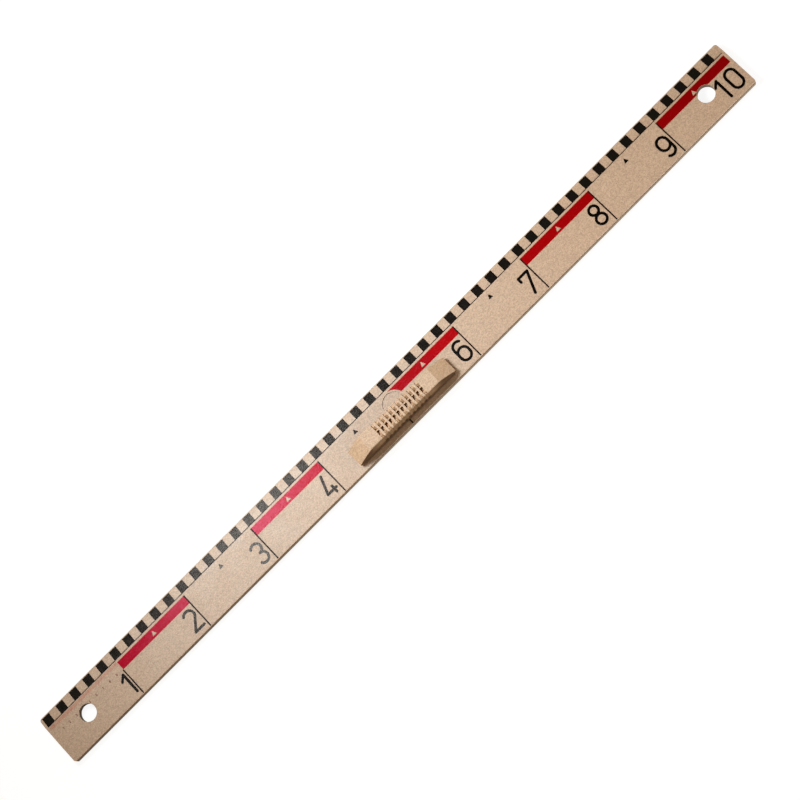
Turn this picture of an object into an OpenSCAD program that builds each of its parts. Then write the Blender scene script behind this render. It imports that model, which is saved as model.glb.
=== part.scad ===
// One metre board ruler with a bevelled graduated edge and a raised grip.
// Millimetres. Origin at the middle of the back face, X along the ruler,
// Y toward the graduated edge, Z out of the back face.

/* [Blade] */
// Overall length of the blade, with the spare wood at both ends
blade_length = 1006; // [1003:1:1250]
// Width across the blade, from the plain edge to the graduated edge
blade_width = 61; // [59:0.5:80]
// Thickness of the blade
blade_thickness = 8; // [6:0.5:14]
// Width of the bevel along the graduated edge
bevel_width = 12.5; // [8:0.25:13]
// Height lost from the crease of the bevel to the graduated edge
bevel_drop = 3; // [1:0.25:4.5]
// Radius of the four corners seen from the front
corner_radius = 3; // [0.5:0.5:8]

/* [Hanging holes] */
// Diameter of each hanging hole
hole_diameter = 19.5; // [12:0.5:24]
// Distance from each end of the blade to the centre of its hole
hole_inset = 45; // [30:1:60]
// Position of the hole centres across the blade
hole_offset = -1.75; // [-6:0.25:1]

/* [Grip seat] */
// Radius of the shallow round recess in the middle of the blade
recess_radius = 13; // [8:0.5:14]
// Depth of the round recess
recess_depth = 0.6; // [0.2:0.1:2]

/* [Grip] */
// Length of the grip along the ruler
grip_length = 140; // [120:2:180]
// Length of the flat top of the grip
grip_top_length = 100; // [80:2:104]
// Width of the grip across the ruler
grip_width = 20; // [16:0.5:24]
// Height of the grip above the blade
grip_height = 20; // [18:0.5:30]
// Position of the middle of the grip across the blade
grip_offset = -13.25; // [-16:0.25:-10]
// Height of the end of the grip above the blade
grip_tip_height = 5.5; // [4.5:0.5:9]
// Steepness of each end slope where it leaves the flat top
grip_slope_start = 31; // [15:1:32]
// Height of the undercut below each end of the grip
undercut_height = 2.5; // [1:0.5:3.5]
// Length of the undercut below each end of the grip
undercut_length = 5; // [3:0.5:8]

/* [Grip ribs] */
// Number of finger grooves across the grip
groove_count = 12; // [6:1:14]
// Distance between neighbouring grooves
groove_pitch = 5.72; // [5:0.1:6.5]
// Width of each groove
groove_width = 3.2; // [2:0.1:4]
// Depth of each groove below the top and behind the sides
groove_depth = 0.8; // [0.4:0.1:1.5]
// Radius of the shoulder where a groove turns down the side
groove_shoulder = 4; // [2:0.5:6]
// Length of the pockets on the plain edge's side, from the web outward
pocket_length = 5.2; // [4:0.1:6]
// Depth of those pockets below the groove
pocket_depth = 3.25; // [2:0.25:5]
// Length of their flat floor, before it runs out toward the side
pocket_floor_length = 3.6; // [2:0.1:3.9]
// Length of the pockets on the graduated edge's side
far_pocket_length = 4.4; // [3:0.1:5]
// Depth of those pockets beside the web, below the groove
far_pocket_depth = 2.5; // [1:0.25:4]
// Thickness of the web left between the two pockets of a groove
web_thickness = 1.45; // [1:0.05:2.5]
// Distance from the middle of the grip to the middle of the web, toward the graduated edge
web_offset = 0.6; // [0:0.1:1]

/* [Grip screws] */
// Diameter of the plain shank of each screw
screw_diameter = 3.5; // [3:0.25:4.5]
// Diameter of each countersunk screw head
screw_head_diameter = 7; // [6:0.25:8.5]
// Length of each screw from head to tip
screw_length = 17; // [14:0.5:20]
// Distance between the two screws
screw_spacing = 80; // [74:1:90]
// Radial room around the screws in the blade and in the grip
screw_clearance = 0.1; // [0.05:0.05:0.3]

/* [Scale] */
// Bare margin between the black steps and the graduated edge
step_margin = 1.15; // [0.5:0.05:3]
// Width of the line printed along the crease
baseline_width = 0.8; // [0.3:0.05:1]
// Distance from the crease to the red bands
band_gap = 3.35; // [2:0.05:4]
// Height of the red bands
band_height = 10.4; // [8:0.1:11]
// Radius around the middle of the blade kept free of print
clear_radius = 15; // [14.5:0.5:17]
// Width of the decimetre lines
decimetre_line_width = 1; // [0.3:0.05:1.2]
// Distance from the decimetre lines to the plain edge
decimetre_line_margin = 1; // [0.5:0.1:4]
// Width and height of the triangles at the half decimetres
mid_mark_size = 5.5; // [3:0.5:7]

/* [Numerals] */
// Height of the numerals between the middles of their strokes
numeral_height = 23.4; // [16:0.2:24]
// Width of the strokes of the numerals
numeral_stroke = 3; // [1.5:0.1:3.4]
// Distance from the plain edge to the foot of the numerals
numeral_foot = 5.9; // [4:0.1:6]
// Distance from each decimetre line to the middle of its numeral
numeral_inset = 10.5; // [9:0.1:12]

/* [Millimetre scale] */
// Bare distance from the line along the crease to the millimetre lines
millimetre_line_gap = 1; // [0.4:0.1:2]
// Length of the millimetre lines
millimetre_line_length = 3.4; // [1.5:0.1:4]
// Length of the lines at each half and whole centimetre
centimetre_line_length = 5; // [4.2:0.1:6]
// Width of the millimetre lines
millimetre_line_width = 0.3; // [0.15:0.05:0.5]
// Height of the small numerals between the middles of their strokes
small_numeral_height = 2.4; // [1.5:0.1:3]
// Distance from each centimetre line to the middle of its small numeral
small_numeral_inset = 1.2; // [0:0.1:2]
// Width of the strokes of the small numerals
small_numeral_stroke = 0.4; // [0.2:0.05:0.45]

/* [Hidden] */
$fn = 96;
over = 1;
scale_length = 1000;
step_length = 10;
print_thickness = 0.1;
hole_print_gap = 0.3;
origin_x = -scale_length / 2;
plain_edge = -blade_width / 2;
graduated_edge = blade_width / 2;
crease = graduated_edge - bevel_width;
bevel_angle = atan(bevel_drop / bevel_width);
bevel_length = bevel_width / cos(bevel_angle);
hole_x = blade_length / 2 - hole_inset;
grip_half = grip_length / 2;
grip_top_half = grip_top_length / 2;
slope_run = grip_half - grip_top_half;
slope_fall = grip_height - grip_tip_height;
slope_chord = norm([slope_run, slope_fall]);
slope_turn = atan2(slope_fall, slope_run) - grip_slope_start;
slope_radius = slope_chord / (2 * sin(slope_turn));
slope_centre_x = grip_top_half - slope_radius * sin(grip_slope_start);
slope_centre_z = grip_height - slope_radius * cos(grip_slope_start);
core_width = grip_width - 2 * groove_depth;
core_height = grip_height - groove_depth;
near_pocket_start = web_offset - web_thickness / 2;
far_pocket_start = web_offset + web_thickness / 2;
screw_head_height = (screw_head_diameter - screw_diameter) / 2;
screw_bore = screw_diameter + 2 * screw_clearance;
screw_seat = screw_head_diameter + 2 * screw_clearance;
screw_recess = 0.3;
screw_bore_depth = screw_length + screw_recess + 1;
decimetre = 100;
decimetre_count = scale_length / decimetre;
millimetre_count = 100;
band_top = crease - band_gap;
band_bottom = band_top - band_height;
mid_mark_foot = band_bottom + (band_height - mid_mark_size) / 2;
small_foot = band_bottom - small_numeral_stroke / 2;
millimetre_line_top = crease - baseline_width - millimetre_line_gap;

wood_colour = [0.86, 0.76, 0.66];
grip_colour = [0.84, 0.72, 0.58];
steel_colour = [0.7, 0.7, 0.72];
black_colour = [0.05, 0.05, 0.05];
red_colour = [0.7, 0.02, 0.04];
rust_colour = [0.6, 0.15, 0.12];

// Rounded rectangle seen from the front
module blade_outline() {
    half_x = blade_length / 2 - corner_radius;
    half_y = blade_width / 2 - corner_radius;
    square([blade_length, 2 * half_y], center = true);
    square([2 * half_x, blade_width], center = true);
    for (x = [-half_x, half_x], y = [-half_y, half_y]) {
        translate([x, y]) circle(r = corner_radius);
    }
}

// Wedge above the bevel, turned about the crease
module bevel_wedge() {
    translate([0, crease, blade_thickness])
        rotate([-bevel_angle, 0, 0])
            translate([-blade_length / 2 - over, 0, 0])
                cube([blade_length + 2 * over, bevel_length + over, blade_thickness]);
}

// Countersunk bore opened from the back face
module screw_hole(depth) {
    translate([0, 0, -over]) cylinder(d = screw_bore, h = depth + over);
    translate([0, 0, -over]) cylinder(d = screw_seat, h = screw_recess + over);
    translate([0, 0, screw_recess])
        cylinder(d1 = screw_seat, d2 = screw_bore, h = screw_head_height);
}

module blade() {
    color(wood_colour)
    difference() {
        linear_extrude(blade_thickness) blade_outline();
        bevel_wedge();
        for (x = [-hole_x, hole_x]) {
            translate([x, hole_offset, -over])
                cylinder(d = hole_diameter, h = blade_thickness + 2 * over);
        }
        translate([0, 0, blade_thickness - recess_depth])
            cylinder(r = recess_radius, h = recess_depth + over);
        for (x = [-screw_spacing / 2, screw_spacing / 2]) {
            translate([x, grip_offset, 0]) screw_hole(blade_thickness + over);
        }
    }
}

// Everything outside the rounded end slope, at the positive end
module end_slope() {
    difference() {
        translate([grip_top_half, -grip_width, grip_tip_height])
            cube([grip_half, 2 * grip_width, grip_height]);
        translate([slope_centre_x, 0, slope_centre_z])
            rotate([90, 0, 0])
                cylinder(r = slope_radius, h = 2 * grip_width + 2 * over, center = true, $fn = 180);
    }
}

// Wedge of air below the tip of the grip, at the positive end
module end_undercut() {
    rotate([90, 0, 0])
        linear_extrude(2 * grip_width, center = true)
            polygon([[grip_half - undercut_length, 0],
                     [grip_half + over, undercut_height * (undercut_length + over) / undercut_length],
                     [grip_half + over, -over],
                     [grip_half - undercut_length, -over]]);
}

// Section of the grip left inside the grooves
module groove_core() {
    square([core_width, 2 * (core_height - groove_shoulder)], center = true);
    square([core_width - 2 * groove_shoulder, 2 * core_height], center = true);
    for (y = [-1, 1]) {
        translate([y * (core_width / 2 - groove_shoulder), core_height - groove_shoulder])
            circle(r = groove_shoulder);
    }
}

// One groove with its two pockets, across the middle of the grip
module groove() {
    rotate([90, 0, 90])
        linear_extrude(groove_width, center = true)
            difference() {
                translate([-grip_width, blade_thickness / 2])
                    square([2 * grip_width, 2 * grip_height]);
                groove_core();
            }
    rotate([90, 0, 90])
        linear_extrude(groove_width, center = true) {
            polygon([[near_pocket_start, core_height + over],
                     [near_pocket_start, core_height - pocket_depth],
                     [near_pocket_start - pocket_floor_length, core_height - pocket_depth],
                     [near_pocket_start - pocket_length, core_height],
                     [near_pocket_start - pocket_length, core_height + over]]);
            polygon([[far_pocket_start, core_height + over],
                     [far_pocket_start, core_height - far_pocket_depth],
                     [far_pocket_start + far_pocket_length, core_height],
                     [far_pocket_start + far_pocket_length, core_height + over]]);
        }
}

module grip() {
    color(grip_colour)
    translate([0, grip_offset, blade_thickness])
    difference() {
        translate([-grip_half, -grip_width / 2, 0])
            cube([grip_length, grip_width, grip_height]);
        for (side = [0, 1]) {
            mirror([side, 0, 0]) end_slope();
            mirror([side, 0, 0]) end_undercut();
        }
        for (i = [0 : groove_count - 1]) {
            translate([(i - (groove_count - 1) / 2) * groove_pitch, 0, 0]) groove();
        }
        for (x = [-screw_spacing / 2, screw_spacing / 2]) {
            translate([x, 0, -over])
                cylinder(d = screw_bore, h = screw_bore_depth - blade_thickness + over);
        }
    }
}

module grip_screws() {
    color(steel_colour)
    for (x = [-screw_spacing / 2, screw_spacing / 2]) {
        translate([x, grip_offset, screw_recess]) {
            cylinder(d1 = screw_head_diameter, d2 = screw_diameter, h = screw_head_height);
            cylinder(d = screw_diameter, h = screw_length);
        }
    }
}

// Lays a printed sheet on the sloping face of the bevel
module on_bevel() {
    translate([0, crease, blade_thickness]) rotate([-bevel_angle, 0, 0]) children();
}

// Lays a printed sheet on the flat front face, cut away at the hanging holes
module on_face() {
    translate([0, 0, blade_thickness])
        linear_extrude(print_thickness)
            difference() {
                children();
                for (x = [-hole_x, hole_x]) {
                    translate([x, hole_offset]) circle(d = hole_diameter + 2 * hole_print_gap);
                }
            }
}

module scale_steps() {
    color(black_colour)
    on_bevel()
        for (x = [origin_x : 2 * step_length : -origin_x - 2 * step_length]) {
            translate([x, 0, 0])
                cube([step_length, bevel_length - step_margin, print_thickness]);
        }
}

module baseline() {
    color(black_colour)
    on_face()
        translate([origin_x, crease - baseline_width])
            square([scale_length, baseline_width]);
}

// Triangle that points at the graduated edge
module mid_triangle() {
    polygon([[-mid_mark_size / 2, 0], [mid_mark_size / 2, 0], [0, mid_mark_size]]);
}

module red_bands() {
    color(red_colour)
    on_face()
        difference() {
            for (d = [1 : 2 : decimetre_count - 1]) {
                translate([origin_x + d * decimetre + decimetre_line_width / 2, band_bottom])
                    square([decimetre - decimetre_line_width, band_height]);
            }
            for (d = [1 : 2 : decimetre_count - 1]) {
                translate([origin_x + (d + 0.5) * decimetre, mid_mark_foot])
                    mid_triangle();
            }
            circle(r = clear_radius);
        }
}

module mid_marks() {
    color(black_colour)
    on_face()
        for (d = [2 : 2 : decimetre_count - 2]) {
            translate([origin_x + (d + 0.5) * decimetre, mid_mark_foot])
                mid_triangle();
        }
}

// Top end of the line of one decimetre: below the grip at the middle of the
// ruler, below the red band for the first line, else level with the bands
function line_top(d) = d * 2 == decimetre_count ? grip_offset - grip_width / 2 - decimetre_line_margin / 2
                     : d == 1 ? band_bottom
                     : band_top;

module decimetre_lines() {
    color(black_colour)
    on_face()
        for (d = [1 : decimetre_count - 1]) {
            foot = plain_edge + decimetre_line_margin;
            translate([origin_x + d * decimetre - decimetre_line_width / 2, foot])
                square([decimetre_line_width, line_top(d) - foot]);
        }
}

// Straight stroke with round ends
module bar(a, b, w) {
    run = b - a;
    translate(a) circle(d = w);
    translate(b) circle(d = w);
    translate(a) rotate(atan2(run[1], run[0]))
        translate([0, -w / 2]) square([norm(run), w]);
}

// Curved stroke with round ends, from angle a0 up to angle a1
module bow(c, r, a0, a1, w) {
    steps = 8;
    reach = 2 * (r + w);
    translate(c) {
        intersection() {
            difference() {
                circle(r = r + w / 2);
                circle(r = r - w / 2);
            }
            polygon(concat([[0, 0]],
                [for (i = [0 : steps]) reach * [cos(a0 + (a1 - a0) * i / steps), sin(a0 + (a1 - a0) * i / steps)]]));
        }
        for (a = [a0, a1]) {
            translate(r * [cos(a), sin(a)]) circle(d = w);
        }
    }
}

// Full round stroke
module ring(c, r, w) {
    translate(c) difference() {
        circle(r = r + w / 2);
        circle(r = r - w / 2);
    }
}

// Plain numerals drawn with one even stroke. The height h and width w are
// those of the middle of the stroke and of the stroke itself.
module digit(n, h, w) {
    r = 0.27 * h;
    if (n == 0) {
        bow([0, h - r], r, 0, 180, w);
        bow([0, r], r, 180, 360, w);
        bar([-r, r], [-r, h - r], w);
        bar([r, r], [r, h - r], w);
    }
    if (n == 1) {
        bar([0.29 * h, 0], [0.29 * h, h], w);
        bar([0.29 * h, h], [0.04 * h, 0.765 * h], w);
    }
    if (n == 2) {
        bow([0, h - r], r, -30, 145, w);
        bar([r * cos(-30), h - r + r * sin(-30)], [-0.25 * h, 0], w);
        bar([-0.25 * h, 0], [0.285 * h, 0], w);
    }
    if (n == 3) {
        bow([0, 0.745 * h], 0.255 * h, -80, 148, w);
        bow([0, 0.255 * h], 0.255 * h, -148, 80, w);
        bar([0.01 * h, h / 2], [0.12 * h, h / 2], w);
    }
    if (n == 4) {
        bar([0.065 * h, h], [-0.25 * h, 0.17 * h], w);
        bar([-0.25 * h, 0.17 * h], [0.28 * h, 0.17 * h], w);
        bar([0.155 * h, 0.34 * h], [0.155 * h, 0], w);
    }
    if (n == 5) {
        bow([0, 0.29 * h], 0.29 * h, -145, 125, w);
        bar([0.29 * h * cos(125), 0.29 * h * (1 + sin(125))], [-0.13 * h, h], w);
        bar([-0.13 * h, h], [0.22 * h, h], w);
    }
    if (n == 6) {
        bow([0, h - r], r, 45, 180, w);
        bar([-r, r], [-r, h - r], w);
        ring_top = 0.385 * h;
        bow([0, ring_top], r, 0, 180, w);
        bow([0, r], r, 180, 360, w);
        bar([r, r], [r, ring_top], w);
    }
    if (n == 7) {
        bar([-0.26 * h, 0.79 * h], [-0.26 * h, h], w);
        bar([-0.26 * h, h], [0.285 * h, h], w);
        bar([0.285 * h, h], [-0.14 * h, 0], w);
    }
    if (n == 8) {
        ring([0, 0.25 * h], 0.25 * h, w);
        ring([0, 0.775 * h], 0.225 * h, w);
    }
    if (n == 9) {
        translate([0, h]) rotate(180) digit(6, h, w);
    }
}

module numerals() {
    color(black_colour)
    on_face()
        translate([origin_x - numeral_inset, plain_edge + numeral_foot + numeral_stroke / 2]) {
            for (d = [1 : decimetre_count - 1]) {
                if (d * 2 != decimetre_count) {
                    translate([d * decimetre, 0]) digit(d, numeral_height, numeral_stroke);
                }
            }
            translate([scale_length, 0]) digit(0, numeral_height, numeral_stroke);
            translate([scale_length - 0.94 * numeral_height, 0])
                digit(1, numeral_height, numeral_stroke);
        }
}

module millimetre_lines() {
    color(rust_colour)
    on_face()
        for (i = [1 : millimetre_count - 1]) {
            length = i % 5 == 0 ? centimetre_line_length : millimetre_line_length;
            translate([origin_x + i - millimetre_line_width / 2, millimetre_line_top - length])
                square([millimetre_line_width, length]);
        }
}

module small_numerals() {
    color(rust_colour)
    on_face()
        for (n = [1 : 9]) {
            if (n != 4) {
                translate([origin_x + n * step_length + small_numeral_inset, small_foot])
                    digit(n, small_numeral_height, small_numeral_stroke);
            }
        }
}

blade();
grip();
grip_screws();
scale_steps();
baseline();
red_bands();
decimetre_lines();
numerals();
mid_marks();
millimetre_lines();
small_numerals();
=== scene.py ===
"""Board ruler, one metre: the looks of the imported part, in metres in the part's own frame.

The blade, the grip, its two screws and the decimetre lines are built anew in the places of
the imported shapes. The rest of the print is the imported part's own, with materials from here.
"""

import math

import bmesh
import bpy
from mathutils import Matrix, Vector


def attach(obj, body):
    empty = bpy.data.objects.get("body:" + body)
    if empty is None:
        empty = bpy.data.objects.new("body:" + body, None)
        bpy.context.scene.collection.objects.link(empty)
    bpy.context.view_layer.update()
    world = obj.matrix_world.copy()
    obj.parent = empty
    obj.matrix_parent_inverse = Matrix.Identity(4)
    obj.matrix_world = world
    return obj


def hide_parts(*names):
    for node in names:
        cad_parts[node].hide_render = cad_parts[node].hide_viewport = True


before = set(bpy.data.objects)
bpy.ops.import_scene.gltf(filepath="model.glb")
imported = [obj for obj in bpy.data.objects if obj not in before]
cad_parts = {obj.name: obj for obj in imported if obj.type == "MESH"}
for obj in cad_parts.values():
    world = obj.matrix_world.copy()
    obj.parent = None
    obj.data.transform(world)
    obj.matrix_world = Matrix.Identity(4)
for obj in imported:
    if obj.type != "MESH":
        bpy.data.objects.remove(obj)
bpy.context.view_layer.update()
MM = 0.001

# Sizes of the blade in millimetres, as in the part
LENGTH, WIDTH, THICK = 1006.0, 61.0, 8.0
BEVEL, DROP = 12.5, 3.0  # width and fall of the graduated edge
CREASE = WIDTH / 2 - BEVEL
CORNER, ARRIS = 3.0, 0.9  # radius in plan, and of the plain long edge
HOLE_X, HOLE_Y, HOLE_D = 458.0, -1.75, 19.5
RECESS_R, RECESS_DEPTH = 13.0, 0.6

# Sizes of the grip, with heights above the blade
GRIP_Y, GRIP_L, GRIP_W, GRIP_H = -13.25, 140.0, 20.0, 20.0
GRIP_TOP, GRIP_TIP = 100.0, 5.5  # length of the flat top, height of the tips
SLOPE_START, SLOPE_END = 31.0, 38.0  # degrees where an end slope begins and where it runs out
GRIP_EDGE, GRIP_FOOT = 1.3, 1.4  # radii of the top edges and of the bottom edges
UNDER_L, UNDER_H = 5.0, 2.5  # undercut of each tip
GROOVES, PITCH, GROOVE_W, GROOVE_DEPTH, SHOULDER = 12, 5.72, 3.2, 0.8, 4.0
POCKET_L, POCKET_FLOOR, POCKET_D = 5.2, 3.6, 3.25
FAR_POCKET_L, FAR_POCKET_D = 4.4, 2.5
WEB, WEB_Y = 1.45, 0.6  # width and place of the web between the two rows of pockets

# Sizes of the screws and of the holes they sit in
SCREW_X, SCREW_BORE, SCREW_SEAT, SCREW_SINK = 40.0, 3.7, 7.2, 0.3
SCREW_HEAD, SCREW_SHANK, SCREW_LENGTH = 7.0, 3.5, 17.0
THREAD_ROOT, THREAD_PITCH = 1.3, 1.25
# Height, half length and half width of the cross recess, at its mouth and at its floor
CROSS = ((-0.5, 2.35, 0.62), (2.1, 0.7, 0.4))

LINE_WIDTH, LINE_RISE = 1.5, 0.02  # the printed lines with the spread of their ink
CLEAR = 2.0  # how far a cutting tool stands out of the wood
SHARP = 32.0  # degrees over which an edge stays sharp in the shading
FINE_ARC, ARC, SMALL_ARC = 9, 6, 5  # points along a rounded corner
HOLE_POINTS, RECESS_POINTS, BORE_POINTS, SCREW_POINTS = 128, 96, 48, 40


def new_object(name, bm):
    me = bpy.data.meshes.new(name)
    bm.to_mesh(me)
    bm.free()
    ob = bpy.data.objects.new(name, me)
    bpy.context.scene.collection.objects.link(ob)
    return ob


def prism(name, points, depth, axis):
    """Solid from a closed outline that is swept along an axis.

    The outline is (y, z) for axis X, (x, z) for axis Y and (x, y) for axis Z. depth is the two
    ends of the sweep, or one length with the origin at its middle.
    """
    bm = bmesh.new()
    lo, hi = depth if isinstance(depth, tuple) else (-depth / 2, depth / 2)
    at = "XYZ".index(axis)

    def place(point, d):
        return bm.verts.new(Vector((*point[:at], d, *point[at:])) * MM)

    a = [place(p, lo) for p in points]
    b = [place(p, hi) for p in points]
    bm.faces.new(a)
    bm.faces.new(list(reversed(b)))
    n = len(points)
    for i in range(n):
        bm.faces.new((a[i], b[i], b[(i + 1) % n], a[(i + 1) % n]))
    bmesh.ops.recalc_face_normals(bm, faces=bm.faces)
    return new_object(name, bm)


def circle_points(cx, cy, r, n, start=0.0, end=360.0):
    """A full circle of n points, or an arc of n points with both of its ends, in degrees."""
    turn = end - start
    steps = n if abs(turn) >= 360 else n - 1
    angles = [math.radians(start + turn * i / steps) for i in range(n)]
    return [(cx + r * math.cos(a), cy + r * math.sin(a)) for a in angles]


def apply_modifiers(ob):
    dg = bpy.context.evaluated_depsgraph_get()
    dg.update()
    me = bpy.data.meshes.new_from_object(ob.evaluated_get(dg))
    old = ob.data
    ob.modifiers.clear()
    ob.data = me
    bpy.data.meshes.remove(old)


def cut(ob, tools):
    for tool in tools:
        m = ob.modifiers.new("cut", "BOOLEAN")
        m.operation = "DIFFERENCE"
        m.solver = "EXACT"
        m.object = tool
    apply_modifiers(ob)
    for tool in tools:
        bpy.data.objects.remove(tool)


def clean(ob):
    """Weld doubled points and take out the edges that lie in a flat face."""
    weld, flat = 0.002 * MM, math.radians(0.5)
    bm = bmesh.new()
    bm.from_mesh(ob.data)
    bmesh.ops.remove_doubles(bm, verts=bm.verts, dist=weld)
    bmesh.ops.dissolve_limit(bm, angle_limit=flat, verts=bm.verts, edges=bm.edges)
    bmesh.ops.recalc_face_normals(bm, faces=bm.faces)
    bm.to_mesh(ob.data)
    bm.free()


def round_edges(ob, width, angle, segments):
    """Round the edges that turn by more than the angle. The flat faces stay flat in the shading."""
    m = ob.modifiers.new("round", "BEVEL")
    m.width = width * MM
    m.segments = segments
    m.limit_method = "ANGLE"
    m.angle_limit = math.radians(angle)
    m.use_clamp_overlap = True
    m.miter_outer = "MITER_ARC"
    apply_modifiers(ob)
    ob.data.shade_smooth()
    ob.data.set_sharp_from_angle(angle=math.radians(SHARP))
    m = ob.modifiers.new("normals", "WEIGHTED_NORMAL")
    m.mode = "FACE_AREA"
    m.weight = 100
    m.keep_sharp = True
    apply_modifiers(ob)


def cylinder_tool(x, y, r, z0, z1, n):
    return prism("tool", circle_points(x, y, r, n), (z0, z1), "Z")


def cone_tool(x, y, r0, r1, z0, z1, n):
    bm = bmesh.new()
    middle = Matrix.Translation(Vector((x, y, (z0 + z1) / 2)) * MM)
    bmesh.ops.create_cone(bm, cap_ends=True, segments=n, radius1=r0 * MM, radius2=r1 * MM,
                          depth=(z1 - z0) * MM, matrix=middle)
    return new_object("tool", bm)


def make_blade():
    """Plate with a bevelled edge, two hanging holes, a round recess and two screw holes."""
    hx, hy = LENGTH / 2 - CORNER, WIDTH / 2 - CORNER
    outline = []
    for cx, cy, start in ((hx, hy, 0), (-hx, hy, 90), (-hx, -hy, 180), (hx, -hy, 270)):
        outline += circle_points(cx, cy, CORNER, FINE_ARC, start, start + 90)
    ob = prism("ruler_blade", outline, (0, THICK), "Z")
    edge, out, over = WIDTH / 2, WIDTH / 2 + CLEAR, THICK + CLEAR
    wedge = [(CREASE, THICK), (out, THICK - DROP - CLEAR * DROP / BEVEL), (out, over),
             (CREASE, over)]
    arris = [(-out, over), (-out, THICK - ARRIS)]
    arris += circle_points(ARRIS - edge, THICK - ARRIS, ARRIS, ARC, 180, 90)
    arris += [(ARRIS - edge, over)]
    cut(ob, [prism("tool", section, LENGTH + 2 * CLEAR, "X") for section in (wedge, arris)])

    tools = [cylinder_tool(x, HOLE_Y, HOLE_D / 2, -CLEAR, over, HOLE_POINTS)
             for x in (-HOLE_X, HOLE_X)]
    tools.append(cylinder_tool(0, 0, RECESS_R, THICK - RECESS_DEPTH, over, RECESS_POINTS))
    seat_top = SCREW_SINK + (SCREW_SEAT - SCREW_BORE) / 2
    for x in (-SCREW_X, SCREW_X):
        tools.append(cylinder_tool(x, GRIP_Y, SCREW_BORE / 2, -CLEAR, over, BORE_POINTS))
        tools.append(cone_tool(x, GRIP_Y, SCREW_SEAT / 2 + 1, SCREW_BORE / 2, SCREW_SINK - 1,
                               seat_top, BORE_POINTS))
    cut(ob, tools)
    clean(ob)
    round_edges(ob, width=0.5, angle=25, segments=3)
    return ob


def slope_points():
    """Outline of the air outside the right end slope, in x and z above the blade.

    The slope is an arc from the end of the flat top to the tip, drawn on straight at both ends.
    """
    lead, trail, beyond = 4.0, 3.0, 12.0
    start, end = math.radians(SLOPE_START), math.radians(SLOPE_END)
    run, fall = (GRIP_L - GRIP_TOP) / 2, GRIP_H - GRIP_TIP
    r = math.hypot(run, fall) / (2 * math.sin(math.atan2(fall, run) - start))
    cx = GRIP_TOP / 2 - r * math.sin(start)
    cz = GRIP_H - r * math.cos(start)
    tip = math.degrees(math.atan2(GRIP_TIP - cz, GRIP_L / 2 - cx))
    arc = circle_points(cx, cz, r, FINE_ARC, 90 - SLOPE_START, tip)
    (x0, z0), (x1, z1) = arc[0], arc[-1]
    before = (x0 - lead * math.cos(start), z0 + lead * math.sin(start))
    after = (x1 + trail * math.cos(end), z1 - trail * math.sin(end))
    far, high = GRIP_L / 2 + beyond, GRIP_H + beyond
    return [before] + arc + [after, (far, after[1]), (far, high), (before[0], high)]


def core_outline():
    """Section left inside the grooves, in y and z above the blade, with round shoulders."""
    w, h = GRIP_W / 2 - GROOVE_DEPTH, GRIP_H - GROOVE_DEPTH
    right = circle_points(w - SHOULDER, h - SHOULDER, SHOULDER, FINE_ARC, 0, 90)
    left = circle_points(-w + SHOULDER, h - SHOULDER, SHOULDER, FINE_ARC, 90, 180)
    return [(w, -1)] + right + left + [(-w, -1)]


def make_grip():
    """Bar with sloped, undercut tips, finger grooves and two rows of pockets in its top."""
    half_w, half_l = GRIP_W / 2, GRIP_L / 2
    section = []
    for side, z, r, start in ((-1, GRIP_FOOT, GRIP_FOOT, 180), (1, GRIP_FOOT, GRIP_FOOT, 270),
                              (1, GRIP_H - GRIP_EDGE, GRIP_EDGE, 0),
                              (-1, GRIP_H - GRIP_EDGE, GRIP_EDGE, 90)):
        section += circle_points(side * (half_w - r), z, r, SMALL_ARC, start, start + 90)
    ob = prism("ruler_grip", section, GRIP_L, "X")

    under = [(half_l - UNDER_L, 0), (half_l + 1, UNDER_H * (UNDER_L + 1) / UNDER_L),
             (half_l + 1, -1), (half_l - UNDER_L, -1)]
    tools = []
    for outline in (slope_points(), under):
        tools.append(prism("tool", outline, 2 * GRIP_W, "Y"))
        tools.append(prism("tool", [(-x, z) for x, z in outline], 2 * GRIP_W, "Y"))

    out, over = 1.5 * half_w, 1.5 * GRIP_H
    ring = [(out, -1), (out, over), (-out, over), (-out, -1)] + list(reversed(core_outline()))
    top = GRIP_H - GROOVE_DEPTH
    near, far = WEB_Y - WEB / 2, WEB_Y + WEB / 2
    near_pocket = [(near, top + 1), (near, top - POCKET_D), (near - POCKET_FLOOR, top - POCKET_D),
                   (near - POCKET_L, top), (near - POCKET_L, top + 1)]
    far_pocket = [(far, top + 1), (far, top - FAR_POCKET_D), (far + FAR_POCKET_L, top),
                  (far + FAR_POCKET_L, top + 1)]
    for i in range(GROOVES):
        x = (i - (GROOVES - 1) / 2) * PITCH
        span = (x - GROOVE_W / 2, x + GROOVE_W / 2)
        tools += [prism("tool", outline, span, "X") for outline in (ring, near_pocket, far_pocket)]
    cut(ob, tools)
    clean(ob)
    ob.data.transform(Matrix.Translation(Vector((0, GRIP_Y, THICK)) * MM))
    round_edges(ob, width=0.22, angle=25, segments=2)
    return ob


def screw_profile():
    """Half section of the screw, as radius and height: head, shank, rolled thread, tip."""
    head, shank, cone = SCREW_HEAD / 2, SCREW_SHANK / 2, (SCREW_HEAD - SCREW_SHANK) / 2
    profile = [(0.0, 0.0), (head - 0.25, 0.0), (head, 0.12), (head - 0.1, 0.3), (shank, cone),
               (shank, cone + 1.2)]
    z = cone + 1.4
    while z < SCREW_LENGTH - 3.0:
        profile += [(THREAD_ROOT, z), (THREAD_ROOT, z + 0.5), (shank - 0.05, z + 0.85),
                    (THREAD_ROOT, z + 1.2)]
        z += THREAD_PITCH
    return profile + [(1.2, z), (0.5, SCREW_LENGTH - 0.6), (0.0, SCREW_LENGTH)]


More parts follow.
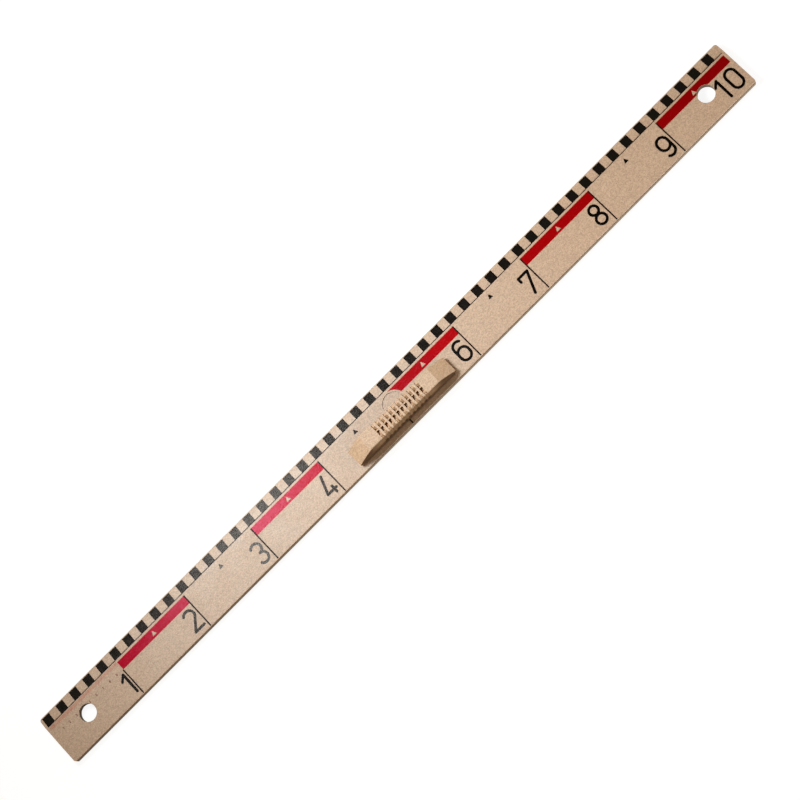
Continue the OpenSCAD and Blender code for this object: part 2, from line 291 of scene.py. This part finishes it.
def make_screw(name, x):
    """Countersunk screw from the back, with a cross recess in its head."""
    bm = bmesh.new()

    def point(u, v, h):
        return bm.verts.new(Vector((x + u, GRIP_Y + v, SCREW_SINK + h)) * MM)

    rings = []
    for r, h in screw_profile():
        turns = [2 * math.pi * i / SCREW_POINTS for i in range(SCREW_POINTS if r else 1)]
        rings.append([point(r * math.cos(a), r * math.sin(a), h) for a in turns])
    for a, b in zip(rings, rings[1:]):
        for i in range(SCREW_POINTS):
            j = (i + 1) % SCREW_POINTS
            if len(a) == 1:
                bm.faces.new((a[0], b[j], b[i]))
            elif len(b) == 1:
                bm.faces.new((a[i], a[j], b[0]))
            else:
                bm.faces.new((a[i], a[j], b[j], b[i]))
    bmesh.ops.recalc_face_normals(bm, faces=bm.faces)
    ob = new_object(name, bm)
    tools = []
    for turn in (45, 135):
        c, s = math.cos(math.radians(turn)), math.sin(math.radians(turn))
        bm = bmesh.new()
        ends = []
        for height, half_l, half_w in CROSS:
            for u, v in ((-half_l, -half_w), (half_l, -half_w),
                         (half_l, half_w), (-half_l, half_w)):
                ends.append(point(u * c - v * s, u * s + v * c, height))
        bmesh.ops.convex_hull(bm, input=ends)
        bmesh.ops.recalc_face_normals(bm, faces=bm.faces)
        tools.append(new_object("tool", bm))
    cut(ob, tools)
    round_edges(ob, width=0.06, angle=35, segments=2)
    return ob


def bold_lines(node, width, rise):
    """One strip over each printed line, as wide as its ink has spread, with the same ends."""
    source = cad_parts[node]
    lines = {}
    for vert in source.data.vertices:
        co = source.matrix_world @ vert.co
        lines.setdefault(round(co.x * 10), []).append(co)  # by the nearest decimetre
    bm = bmesh.new()
    for key in sorted(lines):
        lo = [min(co[i] for co in lines[key]) for i in range(3)]
        hi = [max(co[i] for co in lines[key]) for i in range(3)]
        middle = Vector(((lo[0] + hi[0]) / 2, (lo[1] + hi[1]) / 2, (lo[2] + hi[2] + rise) / 2))
        size = Vector((width, hi[1] - lo[1], hi[2] - lo[2] + rise, 1.0))
        bmesh.ops.create_cube(bm, size=1.0,
                              matrix=Matrix.Translation(middle) @ Matrix.Diagonal(size))
    return new_object("bold_" + node, bm)


MIX_A, MIX_B, MIX_RESULT = 6, 7, 2  # the colour sockets of a mix node


class Nodes:
    """Short calls that build a node tree. A value is a number, a colour or another socket."""

    def __init__(self, tree):
        self.tree = tree

    def put(self, socket, value):
        """Link the value to the socket, or set it there."""
        if isinstance(value, bpy.types.NodeSocket):
            self.tree.links.new(value, socket)
        else:
            socket.default_value = value

    def new(self, kind, **values):
        """A node with its inputs set by name, where _ stands for a space."""
        node = self.tree.nodes.new("ShaderNode" + kind)
        for key, value in values.items():
            self.put(node.inputs[key.replace("_", " ")], value)
        return node

    def coords(self, scale=(1, 1, 1), location=(0, 0, 0)):
        place = self.new("TexCoord").outputs["Object"]
        return self.new("Mapping", Vector=place, Scale=scale, Location=location).outputs[0]

    def split(self, vector):
        return self.new("SeparateXYZ", Vector=vector).outputs

    def noise(self, vector, scale, detail, rough, distortion=0.0):
        return self.new("TexNoise", Vector=vector, Scale=scale, Detail=detail, Roughness=rough,
                        Distortion=distortion).outputs["Fac"]

    def ramp(self, fac, stops):
        node = self.new("ValToRGB", Fac=fac)
        elements = node.color_ramp.elements
        while len(elements) > 1:
            elements.remove(elements[-1])
        elements[0].position, elements[0].color = stops[0]
        for position, colour in stops[1:]:
            elements.new(position).color = colour
        return node.outputs["Color"]

    def range(self, value, start, end, low=0.0, high=1.0):
        """Low at start to high at end, and level past both."""
        return self.new("MapRange", Value=value, From_Min=start, From_Max=end, To_Min=low,
                        To_Max=high).outputs["Result"]

    def math(self, operation, *values):
        node = self.new("Math")
        node.operation = operation
        for socket, value in zip(node.inputs, values):
            self.put(socket, value)
        return node.outputs[0]

    def add(self, a, b):
        return self.math("ADD", a, b)

    def mul(self, a, b):
        return self.math("MULTIPLY", a, b)

    def weigh(self, *shares):
        """Sum of values, each times its share."""
        total = None
        for value, share in shares:
            part = self.mul(value, share)
            total = part if total is None else self.add(total, part)
        return total

    def ragged(self, value, cloud, depth):
        """The value made uneven by a noise, over this depth at most."""
        return self.add(value, self.mul(self.math("SUBTRACT", cloud, 0.5), depth))

    def mix(self, kind, fac, a, b):
        node = self.new("Mix")
        node.data_type = "RGBA"
        node.blend_type = kind
        self.put(node.inputs["Factor"], fac)
        self.put(node.inputs[MIX_A], a)
        self.put(node.inputs[MIX_B], b)
        return node.outputs[MIX_RESULT]

    def bumps(self, *layers):
        """Normal from layers of (height, strength, distance), each on the one before."""
        normal = None
        for height, strength, distance in layers:
            node = self.new("Bump", Height=height, Strength=strength, Distance=distance)
            if normal is not None:
                self.put(node.inputs["Normal"], normal)
            normal = node.outputs["Normal"]
        return normal


class Material(Nodes):
    """A new material with its shader."""

    def __init__(self, name):
        self.mat = bpy.data.materials.new(name)
        self.mat.use_nodes = True
        super().__init__(self.mat.node_tree)
        self.bsdf = self.tree.nodes["Principled BSDF"]

    def shade(self, name, value):
        self.put(self.bsdf.inputs[name], value)


def rgb(r, g, b):
    """Linear colour from display values, 0 to 255."""
    def linear(c):
        c /= 255.0
        return c / 12.92 if c <= 0.04045 else ((c + 0.055) / 1.055) ** 2.4
    return (linear(r), linear(g), linear(b), 1.0)


def scaled(colour, k):
    return tuple(c * k for c in colour[:3]) + (1,)


NOISE_SPAN = (0.3, 0.7)  # where most of a noise lies

# Patterns of the moulded wood: scale per metre, detail, roughness and distortion
CHIPS = 1150.0
FLAKES = (1400.0, 3.0, 0.6, 0.4)
FIBRES = (950.0, 4.0, 0.65, 1.2)
CLOUDS = (45.0, 3.0, 0.5)
BROAD = (6.0, 2.0, 0.5)
CHIP_SHARE, FLAKE_SHARE, FIBRE_SHARE = 0.26, 0.37, 0.37
TONE_SPREAD, WARMER, WARM_AMOUNT = 0.46, (1.0, 0.93, 0.88, 1), 0.6
WEAR_RADIUS, WEAR_LEAN, WEAR_GAPS = 0.9, (0.99, 0.8), (0.35, 0.6)
WEAR_AMOUNT, WEAR_TONE, WEAR_ROUGH = 0.35, 1.25, 0.08
# Painted shade on upright faces: ragged edge of the fade by height, the shade along the ruler, and
# the ramp of its tones
SHADE_RAGGED, SHADE_ALONG = 1.2, (-0.50, -0.05, 0.66, 1.0)  # tone from the zero end to the grip
BLACK_TONE, DEEP_SHADE, FULL_TONE = (0, 0, 0, 1), (0.36, 0.315, 0.25, 1), (1, 1, 1, 1)
# Painted shade: a contact shadow along the foot of the grip, and shade on the sides of its tips
FOOT_SHADOW, TIP_SHADE = (0.30, 0.22, 0.15, 1), (0.34, 0.265, 0.175, 1)
# Painted warm bounce light in the grooves and pockets of the grip
POCKET_BOUNCE_LIGHT = (1.30, 1.02, 0.72, 1)


def composite_wood(name, base, rough, level, seed, height_shade=None, paint_light=None, tint=None):
    """Moulded wood fibre: flakes of uneven tone, short fibres, no long grain, worn along its edges.

    The painted shade by height is given as (z0, z1, k0, k1): the tone goes from k0 at the height z0
    to k1 at the height z1, and darkens toward the zero end.
    The painted light or shade is a function that gives an amount and the shade to darken or warm
    by.
    """
    n = Material(name)
    v = n.coords(location=(seed, seed * 0.37, seed * 0.61))
    along = n.coords(scale=(0.4, 1.0, 1.0), location=(seed * 0.5, seed, 0))
    cell = n.new("TexVoronoi", Vector=v, Scale=CHIPS).outputs["Color"]
    chips = n.new("SeparateColor", Color=cell).outputs[0]
    flakes = n.noise(v, *FLAKES)
    fibres = n.noise(along, *FIBRES)
    cloud = n.noise(v, *CLOUDS)
    broad = n.noise(v, *BROAD)

    def tone(k, warm=0.0):
        return (base[0] * k * (1 + warm), base[1] * k, base[2] * k * (1 - warm), 1)

    grain = n.weigh((flakes, FLAKE_SHARE), (fibres, FIBRE_SHARE), (chips, CHIP_SHARE))
    col = n.ramp(grain, [(0.25, tone(1 - TONE_SPREAD, 0.04)), (0.5, tone(1.0)),
                         (0.75, tone(1 + TONE_SPREAD, -0.03))])
    warmth = n.range(n.weigh((cloud, 0.6), (broad, 0.4)), *NOISE_SPAN)
    col = n.mix("MULTIPLY", n.mul(warmth, WARM_AMOUNT), col, WARMER)

    # Worn and pale where the rounded normal leans away from the face's own
    rounded = n.new("Bevel", Radius=WEAR_RADIUS * MM)
    rounded.samples = 4
    lean = n.new("VectorMath")
    lean.operation = "DOT_PRODUCT"
    n.put(lean.inputs[0], rounded.outputs[0])
    n.put(lean.inputs[1], n.new("NewGeometry").outputs["True Normal"])
    worn = n.mul(n.range(lean.outputs["Value"], *WEAR_LEAN), n.range(cloud, *WEAR_GAPS))
    col = n.mix("MIX", n.mul(worn, WEAR_AMOUNT), col, tone(WEAR_TONE))

    if height_shade:
        # Painted shade, darker by height and more so toward the zero end
        at = n.split(n.coords())
        by_height = n.range(n.ragged(at["Z"], cloud, SHADE_RAGGED * MM), *height_shade)
        k = n.mul(by_height, n.range(at["X"], *SHADE_ALONG))
        painted_tone = n.ramp(k, [(0.0, BLACK_TONE), (0.35, DEEP_SHADE), (1.0, FULL_TONE)])
        col = n.mix("MULTIPLY", 1.0, col, painted_tone)
    if paint_light:
        amount, shade = paint_light(n, cloud)
        col = n.mix("MULTIPLY", amount, col, shade)
    n.shade("Base Color", col)
    sheen = n.weigh((flakes, 0.5), (cloud, 0.5))
    uneven = n.range(sheen, *NOISE_SPAN, rough - 0.04, rough + 0.05)
    n.shade("Roughness", n.add(uneven, n.mul(worn, WEAR_ROUGH)))
    n.shade("Specular IOR Level", level)
    if tint:
        n.shade("Specular Tint", tint)
    n.shade("Normal", n.bumps((fibres, 0.2, 0.1 * MM), (flakes, 0.15, 0.06 * MM),
                              (cloud, 0.1, 0.2 * MM)))
    return n.mat


def foot_contact_shadow(n, cloud):
    """Painted contact shadow on the blade along the foot of the grip."""
    at = n.split(n.coords())
    dx = n.math("SUBTRACT", n.math("ABSOLUTE", at["X"]), (GRIP_L / 2 - 3.5) * MM)
    across = n.math("ABSOLUTE", n.math("SUBTRACT", at["Y"], GRIP_Y * MM))
    dy = n.math("SUBTRACT", across, GRIP_W / 2 * MM)
    distance = n.ragged(n.math("MAXIMUM", dx, dy), cloud, 0.8 * MM)
    on_face = n.range(at["Z"], (THICK - 1.5) * MM, (THICK - 1.0) * MM)
    return n.mul(on_face, n.range(distance, 0.4 * MM, 1.9 * MM, 0.8, 0.0)), FOOT_SHADOW


def tip_painted_shade(n, cloud):
    """Painted shade on the sides of the two tips of the grip, most of all above their foot."""
    at = n.split(n.coords())
    end = n.range(n.ragged(n.math("ABSOLUTE", at["X"]), cloud, 4 * MM), 38 * MM, 53 * MM)
    return n.mul(end, n.range(at["Z"], 8.5 * MM, 15.5 * MM)), TIP_SHADE


def groove_bounce_light(n, cloud):
    """Painted warm bounce light on the floors of the grooves and pockets: warmer than the top, more
    so with depth.
    """
    at = n.split(n.coords())
    top = THICK + GRIP_H
    reach = GROOVES * PITCH / 2
    inside = n.range(n.math("ABSOLUTE", at["X"]), reach * MM, (reach + 0.6) * MM, 1.0, 0.0)
    shallow = n.range(at["Z"], (top - 0.6) * MM, (top - 0.9) * MM, 0.0, 0.25)
    deep = n.range(at["Z"], (top - 1.2) * MM, (top - 3.2) * MM, 0.0, 0.55)
    amount = n.mul(n.add(shallow, deep), n.range(cloud, 0.3, 0.6, 0.85, 1.0))
    return n.mul(inside, amount), POCKET_BOUNCE_LIGHT


# Patterns of the foil: scale per metre, detail and roughness
PITS = (1100.0, 3.0, 0.6)
BLOTCHES = (140.0, 4.0, 0.6)
SHADES = (22.0, 3.0, 0.5)
GRAIN = (620.0, 2.0, 0.6)
STROKES = (420.0, 1.0, 0.5)
PATCHES = (60.0, 2.0, 0.5)
SPOT_EDGE, GLOSS_SWING = 0.05, 0.075
SHADE_TONE, DEEP_TONE, CRIMSON_TONE, CRIMSON_BLUE = 1.15, 0.62, 1.04, 0.014
DEEP_ALONG, CRIMSON_ALONG = (0.02, 0.46), (-0.22, -0.36)


def foil(name, colour, worn, rough, level, wear, faded=0.0, tint=None, drift=False):
    """Hot stamped colour foil on wood fibre: even colour, faint pits and small rubbed spots.

    The worn colour shows in spots where the noise is above wear, and in strokes by the amount
    faded. With drift the colour changes along the ruler.
    """
    n = Material(name)
    v = n.coords()
    pits = n.noise(v, *PITS)
    blotches = n.noise(v, *BLOTCHES)
    spots = n.range(n.weigh((pits, 0.6), (blotches, 0.4)), wear, wear + SPOT_EDGE)
    shades = n.range(n.noise(v, *SHADES), *NOISE_SPAN)
    col = n.mix("MIX", n.mul(shades, 0.5), colour, scaled(colour, SHADE_TONE))
    col = n.mix("MIX", n.mul(spots, 0.5), col, worn)
    if faded:
        strokes = n.noise(n.coords(scale=(1.0, 0.08, 1.0)), *STROKES)
        lost = n.weigh((strokes, 0.7), (n.noise(v, *PATCHES), 0.3))
        col = n.mix("MIX", n.mul(n.range(lost, 0.40, 0.60, 0.2, 1.0), faded), col, worn)
    if drift:
        # Deeper toward the ten end, a little more crimson toward the zero end
        x = n.split(v)["X"]
        col = n.mix("MIX", n.range(x, *DEEP_ALONG), col, scaled(colour, DEEP_TONE))
        crimson = (colour[0] * CRIMSON_TONE, colour[1], CRIMSON_BLUE, 1)
        col = n.mix("MIX", n.range(x, *CRIMSON_ALONG), col, crimson)
    n.shade("Base Color", col)
    matt = n.weigh((blotches, 0.35), (n.noise(v, *GRAIN), 0.65))
    n.shade("Roughness", n.range(matt, 0.36, 0.64, rough - GLOSS_SWING, rough + GLOSS_SWING))
    n.shade("Specular IOR Level", level)
    if tint:
        n.shade("Specular Tint", tint)
    n.shade("Normal", n.bumps((pits, 0.5, 0.16 * MM), (blotches, 0.25, 0.16 * MM)))
    return n.mat


ZINC_FINE, ZINC_CLOUDS = (2500.0, 3.0, 0.6), (300.0, 3.0, 0.5)


def steel(name):
    """Zinc plated steel, a little cloudy."""
    n = Material(name)
    v = n.coords()
    fine = n.noise(v, *ZINC_FINE)
    cloud = n.noise(v, *ZINC_CLOUDS)
    n.shade("Base Color", n.ramp(cloud, [(0.3, rgb(176, 172, 160)), (0.7, rgb(208, 206, 198))]))
    n.shade("Metallic", 1.0)
    n.shade("Roughness", n.range(fine, *NOISE_SPAN, 0.26, 0.4))
    n.shade("Normal", n.bumps((fine, 0.3, 0.03 * MM)))
    return n.mat


# The blade's face, with a painted contact shadow along the foot of the grip
WOOD = composite_wood("blade wood", (0.448, 0.319, 0.217), rough=0.52, level=0.88, seed=0.0,
                      paint_light=foot_contact_shadow, tint=(0.69, 0.90, 1, 1))
# The blade's upright edges: rougher and less shiny than the face as a raw edge, and darker as
# painted shade, with more painted shade near their top and toward the zero end
EDGE_SHADED = composite_wood("blade edge shaded", (0.285, 0.242, 0.19), rough=0.8, level=0.2, seed=1.3,
                     height_shade=(7.4 * MM, 4.0 * MM, 0.32, 1.0))
# The grip's upright sides: its wood made darker as painted shade, darker still toward the foot,
# with painted shade on the tips
SHADED_GRIP_SIDE = composite_wood("grip side shaded", (0.24, 0.15, 0.08), rough=0.8, level=0.2, seed=2.2,
                           height_shade=(8.6 * MM, 15.0 * MM, 0.14, 1.0), paint_light=tip_painted_shade)
# The grip's top, with painted warm bounce light in its grooves and pockets
GRIP = composite_wood("grip wood", (0.46, 0.328, 0.216), rough=0.52, level=0.64, seed=3.7,
                      paint_light=groove_bounce_light, tint=(0.74, 0.92, 1, 1))
BLACK = foil("black foil", (0.001, 0.001, 0.001, 1), (0.02, 0.016, 0.012, 1),
             rough=0.24, level=0.29, wear=0.68, tint=(1, 0.94, 0.88, 1))
RED = foil("red foil", (0.335, 0.0002, 0.001, 1), (0.42, 0.05, 0.03, 1),
           rough=0.235, level=0.36, wear=0.68, tint=(1, 0.39, 0.60, 1), drift=True)
TICKS = foil("millimetre print", rgb(176, 50, 26), rgb(190, 146, 116),
             rough=0.5, level=0.3, wear=0.56, faded=0.6)
RUST = foil("rust print", rgb(96, 30, 16), rgb(140, 84, 60), rough=0.5, level=0.3, wear=0.62)
LINE = foil("line print", rgb(16, 9, 5), rgb(60, 42, 30), rough=0.4, level=0.1, wear=0.68)
STEEL = steel("screw steel")


def give(ob, mat):
    ob.data.materials.clear()
    ob.data.materials.append(mat)


def give_sides(ob, mat, limit):
    """The upright faces, and the rounded edges nearest to them, take a second material."""
    ob.data.materials.append(mat)
    for poly in ob.data.polygons:
        if abs(poly.normal.z) < limit:
            poly.material_index = 1


blade = make_blade()
give(blade, WOOD)
give_sides(blade, EDGE_SHADED, 0.5)
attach(blade, "root")
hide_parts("blade")

grip = make_grip()
give(grip, GRIP)
give_sides(grip, SHADED_GRIP_SIDE, 0.35)
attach(grip, "root")
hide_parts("grip")

for node, mat in (("scale_steps", BLACK), ("baseline", LINE), ("red_bands", RED),
                  ("numerals", BLACK), ("mid_marks", BLACK), ("millimetre_lines", TICKS),
                  ("small_numerals", RUST)):
    give(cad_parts[node], mat)

lines = bold_lines("decimetre_lines", LINE_WIDTH * MM, LINE_RISE * MM)
give(lines, LINE)
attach(lines, "root")
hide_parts("decimetre_lines")

for i, x in enumerate((-SCREW_X, SCREW_X)):
    screw = make_screw("grip_screw_%d" % (i + 1), x)
    give(screw, STEEL)
    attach(screw, "root")
    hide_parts("grip_screws")

# White where it is seen, and dark grey for the light that it gives back, so the shadow stays
FLOOR_HALF, FLOOR_GAP, FLOOR_WHITE = 6.0, 0.2 * MM, 0.9
bm = bmesh.new()
bmesh.ops.create_grid(bm, x_segments=1, y_segments=1, size=FLOOR_HALF)
floor = new_object("floor", bm)
floor.location.z = -FLOOR_GAP
n = Material("floor")
n.shade("Base Color", (0.16, 0.16, 0.16, 1))
n.shade("Roughness", 0.9)
n.shade("Specular IOR Level", 0.0)
path = n.new("LightPath").outputs
mirrored = n.math("MAXIMUM", path["Is Glossy Ray"], path["Is Transmission Ray"])
seen = n.math("MAXIMUM", path["Is Camera Ray"], mirrored)
n.shade("Emission Strength", n.mul(seen, FLOOR_WHITE))
n.shade("Emission Color", (1, 1, 1, 1))
give(floor, n.mat)

# The room gives warm light from the horizon and falls off to dark overhead. It is seen as white
WARM, SEEN, FALL_OFF = (1.50, 1.17, 0.84, 1), (0.96, 0.96, 0.96, 1), 1.4
world = bpy.data.worlds.new("world")
world.use_nodes = True
n = Nodes(world.node_tree)
height = n.split(n.new("TexCoord").outputs["Generated"])["Z"]
room = n.tree.nodes["Background"]
n.put(room.inputs["Color"], WARM)
n.put(room.inputs["Strength"], n.math("POWER", n.range(height, 0.0, 1.0, 1.0, 0.0), FALL_OFF))
choose = n.new("MixShader", Fac=n.new("LightPath").outputs["Is Camera Ray"])
n.put(choose.inputs[1], room.outputs[0])
n.put(choose.inputs[2], n.new("Background", Color=SEEN).outputs[0])
n.put(n.tree.nodes["World Output"].inputs["Surface"], choose.outputs[0])
bpy.context.scene.world = world


def stand(ob, x, y, z, place):
    """Put an object at a place with its own axes along x, y and z."""
    rows = [(x[i], y[i], z[i], place[i]) for i in range(3)]
    ob.matrix_world = Matrix(rows + [(0, 0, 0, 1)])


def area(name, place, long_axis, turn, size_x, size_y, power):
    """Rectangular lamp: size_y lies along long_axis, and it faces down, turned about that axis."""
    data = bpy.data.lights.new(name, "AREA")
    data.shape = "RECTANGLE"
    data.size = size_x
    data.size_y = size_y
    data.energy = power
    ob = bpy.data.objects.new(name, data)
    bpy.context.scene.collection.objects.link(ob)
    u = Vector(long_axis).normalized()
    down = Vector((0.0, 0.0, -1.0))
    down = (down - u * down.dot(u)).normalized()
    shine = down * math.cos(turn) + u.cross(down) * math.sin(turn)
    stand(ob, u.cross(-shine), u, -shine, place)


KEY_TILT = 0.672
area("key", place=(-0.271, 0.391, 0.716),
     long_axis=(0.693, math.cos(KEY_TILT), math.sin(KEY_TILT)),
     turn=-1.106, size_x=0.339, size_y=0.354, power=11.6)
area("fill", place=(0.45, -0.66, 0.13), long_axis=(0.95, 0.3, 0.0),
     turn=1.37, size_x=0.4, size_y=0.22, power=4.0)

# The photo's camera: focal length in pixels, picture width in pixels, place and directions
FOCAL, PICTURE, SENSOR = 2600.39, 800.0, 36.0
PLACE = (0.09163, -0.75405, 2.62236)
RIGHT = Vector((0.706381, -0.673805, -0.216826)).normalized()
UP = Vector((0.707148, 0.685242, 0.174317))
cam = bpy.data.cameras.new("camera")
cam.sensor_fit = "HORIZONTAL"
cam.sensor_width = SENSOR
cam.lens = SENSOR * FOCAL / PICTURE
cam.clip_start = 0.1
cam.clip_end = 50.0
camera = bpy.data.objects.new("camera", cam)
bpy.context.scene.collection.objects.link(camera)
up = (UP - RIGHT * UP.dot(RIGHT)).normalized()
stand(camera, RIGHT, up, RIGHT.cross(up), PLACE)
bpy.context.scene.camera = camera

bpy.context.scene.view_settings.view_transform = "Standard"

bpy.context.view_layer.update()
